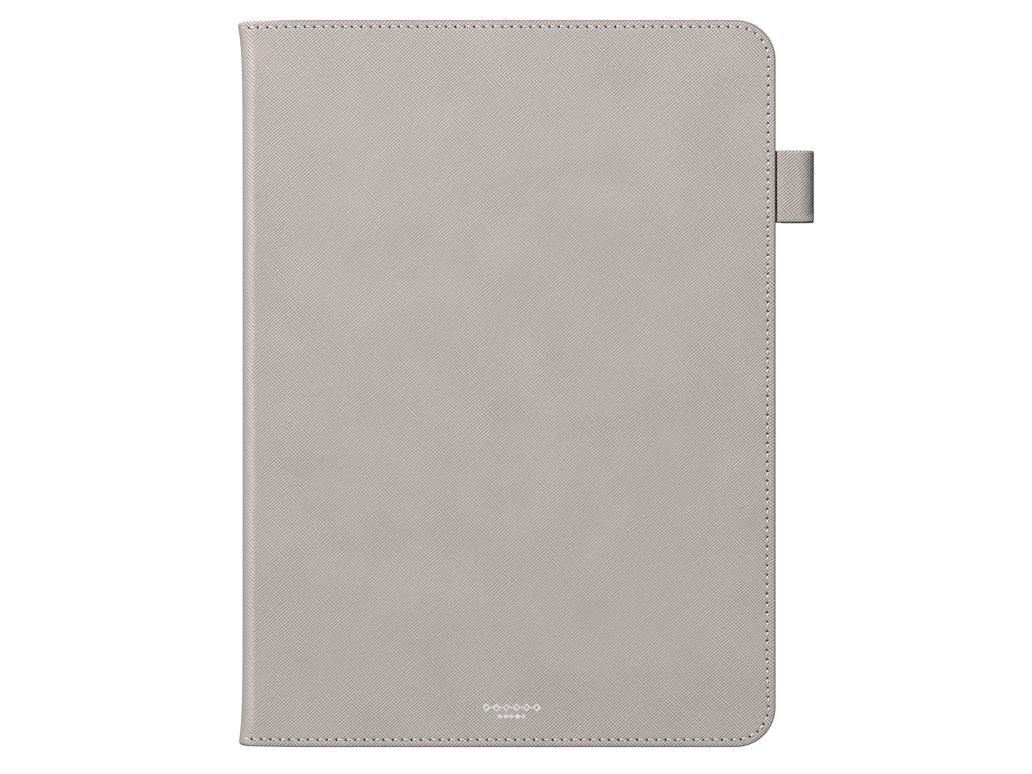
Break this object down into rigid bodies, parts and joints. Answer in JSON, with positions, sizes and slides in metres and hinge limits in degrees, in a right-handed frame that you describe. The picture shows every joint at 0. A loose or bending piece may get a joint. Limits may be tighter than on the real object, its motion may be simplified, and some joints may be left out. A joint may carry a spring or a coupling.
{
  "type": "tablet case",
  "caption": "Book-style folio case for a tablet: textured leather covers round a soft spine, a moulded tray inside, and a pen loop on the fore edge.",
  "frame": {"origin": "on the outer face of the back cover, midway along the case's height and midway between the spine and the fore edge", "axes": "+Z out through the front cover, +Y to the top edge, -X to the spine, +X to the fore edge with the pen loop; the case is shut"},
  "size_m": [0.1999, 0.254, 0.0151],
  "materials": {
    "leather": "greige cross-hatched grain, satin",
    "lining": "brushed microfibre",
    "foam": "thin closed-cell foam sheet",
    "board": "stiff fibre board",
    "thread": "bonded polyester thread",
    "tray": "fine moulded texture",
    "adhesive": "double-sided film",
    "magnet": "nickel plated",
    "foil": "hot-stamped silver foil"
  },
  "bodies": {
    "back_cover": {"back_skin": "leather", "back_foam": "foam", "back_board": "board", "back_lining": "lining", "back_needle_thread": "thread", "back_bobbin_thread": "thread", "camera_hole_thread": "thread", "tray_adhesive": "adhesive", "tablet_tray": "tray"},
    "spine": {"spine_skin": "leather", "spine_stiffener": "board", "spine_lining": "lining"},
    "front_cover": {"front_skin": "leather", "front_foam": "foam", "front_board": "board", "front_lining": "lining", "front_needle_thread": "thread", "front_bobbin_thread": "thread", "pen_loop_tail": "leather", "foil_ornament_upper": "foil", "foil_ornament_lower": "foil", "closing_magnet_1": "magnet", "closing_magnet_2": "magnet", "closing_magnet_3": "magnet", "closing_magnet_4": "magnet", "sleep_magnet": "magnet"},
    "pen_loop": {"pen_loop_skin": "leather", "pen_loop_lining": "lining"}
  },
  "joints": [
    {"name": "back_fold", "type": "hinge", "parent": "back_cover", "child": "spine", "pos_m": [-0.09207, 0, 0.00103], "axis": [0, -1, 0], "range_deg": [0, 90]},
    {"name": "front_fold", "type": "hinge", "parent": "spine", "child": "front_cover", "pos_m": [-0.09207, 0, 0.01397], "axis": [0, -1, 0], "range_deg": [0, 90]},
    {"name": "pen_loop_bend", "type": "hinge", "parent": "front_cover", "child": "pen_loop", "pos_m": [0.0939, 0.0688, 0.01245], "axis": [0, 1, 0], "range_deg": [-12, 28], "stiffness_Nm_per_rad": 0.02}
  ]
}
